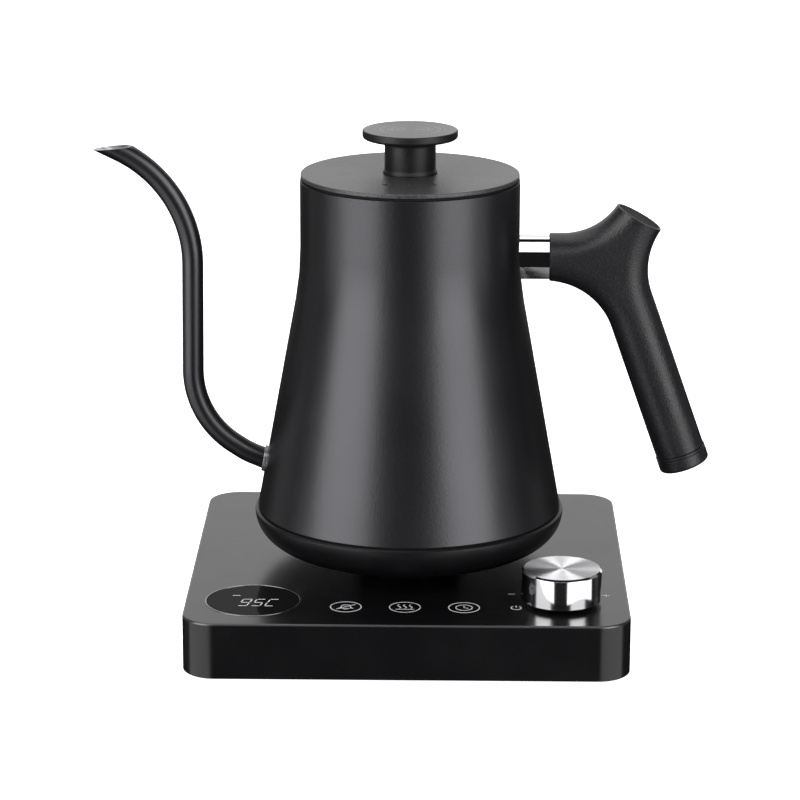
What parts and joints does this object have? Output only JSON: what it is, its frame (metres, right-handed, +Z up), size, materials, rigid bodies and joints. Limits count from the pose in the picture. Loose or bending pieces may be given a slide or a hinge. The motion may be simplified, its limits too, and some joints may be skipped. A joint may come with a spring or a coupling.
{
  "type": "electric kettle",
  "caption": "Gooseneck electric kettle with a round lid knob and forked handle, on a square heating base with a round display, touch keys and a turn-and-press dial.",
  "frame": {"origin": "on the table under the axis of the kettle and its coupler, at the centre of the four feet", "axes": "+Z up, -Y towards the front with the display and dial, -X towards the spout, +X towards the handle"},
  "size_m": [0.2841, 0.201, 0.2306],
  "materials": {
    "coated_steel": "satin black baked coating",
    "coated_lid": "fine textured black powder coating",
    "coated_casing": "satin black coating",
    "knob_plastic": "fine textured black moulding",
    "grip_plastic": "spark-eroded black moulding",
    "black_plastic": "moulded black",
    "polished_steel": "polished stainless",
    "plain_steel": "plain steel",
    "brushed_aluminium": "turned, circular brush on top",
    "cast_aluminium": "cast",
    "bezel_metal": "bright ring",
    "display_gloss": "polished, smoked",
    "silicone": "matte black silicone",
    "circuit_board": "solder mask",
    "contact_brass": "plain brass"
  },
  "bodies": {
    "base": {"base_cover": "coated_casing", "base_bottom": "black_plastic", "feet": "silicone", "casing_screws": "plain_steel", "coupler_plug": "black_plastic", "plug_contacts": "contact_brass", "display_bezel": "bezel_metal", "display_lens": "display_gloss", "digit_block": "black_plastic", "touch_springs": "contact_brass", "control_board": "circuit_board", "control_board_screws": "plain_steel", "encoder_body": "plain_steel", "encoder_nut": "plain_steel", "power_board": "circuit_board", "power_board_screws": "plain_steel", "power_relay": "black_plastic", "transformer": "plain_steel", "capacitor": "plain_steel", "buzzer": "black_plastic", "inlet_grommet": "silicone", "cord_clamp": "black_plastic", "clamp_screws": "plain_steel"},
    "coupler_socket": {"coupler_socket": "black_plastic", "socket_pins": "contact_brass"},
    "kettle": {"kettle_body": "coated_steel", "vessel_floor": "polished_steel", "heat_plate": "cast_aluminium", "heating_element": "plain_steel", "thermostat": "plain_steel", "probe": "plain_steel", "probe_bush": "silicone", "skirt_studs": "plain_steel", "skirt": "black_plastic", "skirt_screws": "plain_steel", "seam_gasket": "silicone", "spout_tube": "coated_steel", "spout_collar": "polished_steel", "handle_bracket": "polished_steel", "handle_core": "plain_steel", "handle_screw": "plain_steel", "handle_top_cap": "grip_plastic", "handle_grip": "grip_plastic", "handle_end_cap": "grip_plastic"},
    "lid_seal": {"lid_seal": "silicone"},
    "lid": {"lid_cover": "coated_lid", "lid_cup": "polished_steel", "lid_knob": "knob_plastic", "knob_screw": "plain_steel", "lid_spacer": "black_plastic"},
    "switch_plunger": {"switch_plunger": "black_plastic"},
    "dial": {"dial_cap": "brushed_aluminium", "dial_insert": "black_plastic", "encoder_shaft": "plain_steel"}
  },
  "joints": [
    {"name": "kettle_lift", "type": "slide", "parent": "base", "child": "coupler_socket", "axis": [0, 0, 1], "range_m": [0, 0.1]},
    {"name": "kettle_swivel", "type": "hinge", "parent": "coupler_socket", "child": "kettle", "pos_m": [0, 0, 0.04], "axis": [0, 0, 1], "continuous": true},
    {"name": "lid_lift", "type": "slide", "parent": "kettle", "child": "lid_seal", "axis": [0, 0, 1], "range_m": [0, 0.06]},
    {"name": "lid_turn", "type": "hinge", "parent": "lid_seal", "child": "lid", "pos_m": [0, 0, 0.205], "axis": [0, 0, 1], "continuous": true},
    {"name": "dial_press", "type": "slide", "parent": "base", "child": "switch_plunger", "axis": [0, 0, -1], "range_m": [0, 0.0007], "stiffness_N_per_m": 2500, "springref_m": -0.0008},
    {"name": "dial_turn", "type": "hinge", "parent": "switch_plunger", "child": "dial", "pos_m": [0.0696, -0.0673, 0.036], "axis": [0, 0, 1], "continuous": true}
  ]
}
